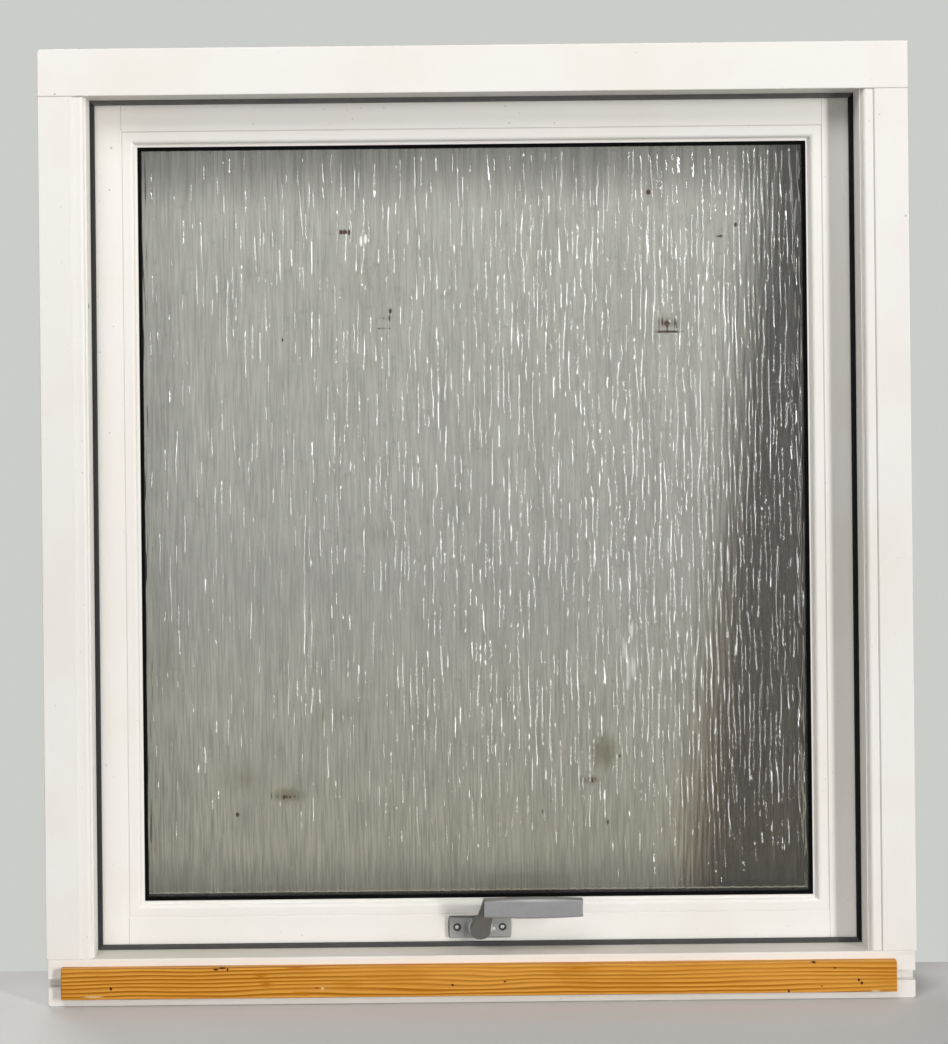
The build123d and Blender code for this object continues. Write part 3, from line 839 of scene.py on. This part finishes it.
def make_screws(finish):
    values = {
        "Head radius": SCREW_HEAD_RADIUS * MM,
        "Head rise": SCREW_HEAD_RISE * MM,
        "Cross length": CROSS_LENGTH * MM,
        "Cross width": CROSS_WIDTH * MM,
        "Cross depth": CROSS_DEPTH * MM,
        "Spacing": 2 * SCREW_X * MM,
        "Turn": math.radians(CROSS_TURN),
        "Seat": (0.0, (PLATE_FACE_Y + SCREW_SINK) * MM, SCREW_Z * MM),
    }
    mesh = grown_mesh("plate_screws", screw_tree(finish), values, finish)
    show_piece("plate_screws", mesh, "window")


def dress(node_names, finish):
    for node_name in node_names:
        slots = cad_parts[node_name].material_slots
        for slot in slots:
            slot.material = finish


# Studio

def plane(name, corners, finish):
    mesh = bpy.data.meshes.new(name)
    mesh.from_pydata(corners, [], [(0, 1, 2, 3)])
    mesh.materials.append(finish)
    sheet = bpy.data.objects.new(name, mesh)
    bpy.context.collection.objects.link(sheet)
    return sheet


def through_rays(nodes):
    """1 for rays that came through glass."""
    return nodes.add("ShaderNodeLightPath", output="Is Transmission Ray")


def seen_rays(nodes):
    """1 for rays that look at the background: camera, mirror and through-glass rays."""
    camera = nodes.add("ShaderNodeLightPath", output="Is Camera Ray")
    glossy = nodes.add("ShaderNodeLightPath", output="Is Glossy Ray")
    return camera.larger(glossy).larger(through_rays(nodes))


def dimmed(nodes, value, edge):
    """1 before an edge, and 1 less the share lost after it."""
    start, end, loss = edge
    return 1.0 - loss * nodes.between(value, start, end)


def make_backdrop():
    material, nodes = new_finish("studio_backdrop")
    x, _, z = nodes.parts(nodes.place())
    through = through_rays(nodes)
    front = 1.0 - nodes.add("ShaderNodeNewGeometry", output="Backfacing")
    # Painted light and shade, seen only by rays through the glass: brighter upwards, painted shadows of the
    # frame along three edges and a painted shadow beyond the leaning line.
    rise = RISE_FOOT + RISE_SLOPE * z
    edges = dimmed(nodes, z, TOP_EDGE_SHADOW) * dimmed(nodes, z, LOW_EDGE_SHADOW) * dimmed(nodes, x, LEFT_EDGE_SHADOW)
    past_shadow_line = x - SHADOW_LINE_X - SHADOW_LINE_LEAN * z
    in_shadow = nodes.between(past_shadow_line, -SHADOW_LINE_BLUR, SHADOW_LINE_BLUR)
    shade = 1.0 - through * (1.0 - rise * edges * (1.0 - SHADOW_LOSS * in_shadow))
    warm = through * in_shadow * nodes.between(z, *WARM_SHADOW_FADE)
    colour = nodes.shade(nodes.tint(warm, BACKDROP_GREY, BACKDROP_SHADOW_WARM), shade)
    glow = nodes.add("ShaderNodeEmission", {}, {"Color": colour, "Strength": 1.0})
    clear = nodes.add("ShaderNodeBsdfTransparent")
    shown = seen_rays(nodes) * front
    close_finish(nodes, nodes.add("ShaderNodeMixShader", {}, {0: shown, 1: clear, 2: glow}))
    corners = [
        (-BACKDROP_REACH, BACKDROP_Y, 0.0),
        (BACKDROP_REACH, BACKDROP_Y, 0.0),
        (BACKDROP_REACH, BACKDROP_Y, BACKDROP_HEIGHT),
        (-BACKDROP_REACH, BACKDROP_Y, BACKDROP_HEIGHT),
    ]
    plane("backdrop", corners, material)


def make_floor():
    material, nodes = new_finish("studio_floor")
    soft = nodes.noise(nodes.place(), even(2.0), 3.0, 1.0)
    pale = nodes.tint(soft * 0.3, FLOOR_PALE, FLOOR_SOFT)
    colour = nodes.tint(seen_rays(nodes), FLOOR_BOUNCE, pale)
    sockets = {"Base Color": colour, "Roughness": 0.9}
    close_finish(nodes, nodes.add("ShaderNodeBsdfPrincipled", {}, sockets))
    corners = [
        (-FLOOR_REACH, -FLOOR_REACH, 0.0),
        (FLOOR_REACH, -FLOOR_REACH, 0.0),
        (FLOOR_REACH, FLOOR_REACH, 0.0),
        (-FLOOR_REACH, FLOOR_REACH, 0.0),
    ]
    floor = plane("floor", corners, material)
    # The strip lamp reaches below the floor, and its low end glints in the lower ridges.
    floor.visible_glossy = False


def make_sky():
    world = bpy.data.worlds.new("studio_sky")
    world.use_nodes = True
    world.node_tree.nodes.clear()
    nodes = Nodes(world.node_tree)
    colour = nodes.tint(seen_rays(nodes), SKY_LIGHT, SKY_SEEN)
    sky = nodes.add("ShaderNodeBackground", {}, {"Color": colour, "Strength": 1.0})
    end = world.node_tree.nodes.new("ShaderNodeOutputWorld")
    world.node_tree.links.new(sky.socket, end.inputs["Surface"])
    bpy.context.scene.world = world


def make_light(name, place, target, size, watts, seen_in_glass, spread):
    data = bpy.data.lights.new(name, "AREA")
    data.shape = "RECTANGLE"
    data.size, data.size_y = size
    data.energy = watts
    data.spread = math.radians(spread)
    lamp = bpy.data.objects.new(name, data)
    lamp.location = place
    lamp.rotation_euler = (Vector(target) - Vector(place)).to_track_quat("-Z", "Y").to_euler()
    lamp.visible_camera = False
    lamp.visible_transmission = False
    lamp.visible_glossy = seen_in_glass
    bpy.context.collection.objects.link(lamp)


def make_camera():
    data = bpy.data.cameras.new("photo_camera")
    data.sensor_width = SENSOR_WIDTH
    data.sensor_fit = "AUTO"
    data.lens = CAMERA_LENS
    data.shift_x, data.shift_y = CAMERA_SHIFT
    camera = bpy.data.objects.new("photo_camera", data)
    camera.location = CAMERA_PLACE
    camera.rotation_euler = Euler((math.radians(90.0), math.radians(CAMERA_ROLL), 0.0))
    bpy.context.collection.objects.link(camera)
    bpy.context.scene.camera = camera


make_camera()
make_floor()
make_backdrop()
make_sky()
for lamp in LAMPS:
    make_light(*lamp)

dress(["frame_head"], white_paint("head_paint", "level", FRAME_MARKS))
dress(["frame_sill"], white_paint("sill_paint", "level", FRAME_MARKS, grey_top=SILL_TOP_Z))
jamb_paint = white_paint("frame_paint_upright", "upright", FRAME_MARKS, head_seam)
dress(["frame_jamb_left", "frame_jamb_right"], jamb_paint)
rail_paint = white_paint("sash_paint_level", "level", SASH_MARKS, shoulder_seam)
dress(["sash_rail_top", "sash_rail_bottom"], rail_paint)
dress(["sash_stile_left", "sash_stile_right"], white_paint("sash_paint_upright", "upright", SASH_MARKS))
beads_level = white_paint("bead_paint_level", "level", SASH_MARKS)
beads_upright = white_paint("bead_paint_upright", "upright", SASH_MARKS)
dress(["outer_bead_top", "outer_bead_bottom"], beads_level)
dress(["outer_bead_left", "outer_bead_right"], beads_upright)
for side in SIDES:
    dress(["frame_seal_" + side], grey_rubber("seal_rubber_" + side, SEAL_DUST_AND_SHADE[side]))
dress(["glazing_seal_" + side for side in SIDES], black_rubber("glazing_seal_rubber", RUBBER_BLACK))
dress(["pane_spacer"], black_rubber("spacer_plastic", SPACER_BLACK))
dress(["pane_outer"], clear_glass())
dress(["stay_left", "stay_right"], bright_steel("stay_zinc", ZINC, 0.3, []))
dress(["handle_plate"], cast_metal("plate_casting", CAST_PLATE, plate_shade, PLATE_HIGHLIGHTS, 0.8))
dress(["handle_lever"], cast_metal("lever_casting", CAST_GREY, hub_shade, LEVER_TOP_HIGHLIGHT, 0.25))
dress(["sill_strip"], lacquered_pine())
make_pane(ridged_glass())
make_screws(bright_steel("screw_steel", SCREW_STEEL, 0.22, SCREW_HIGHLIGHTS))

bpy.context.scene.view_settings.view_transform = "Standard"
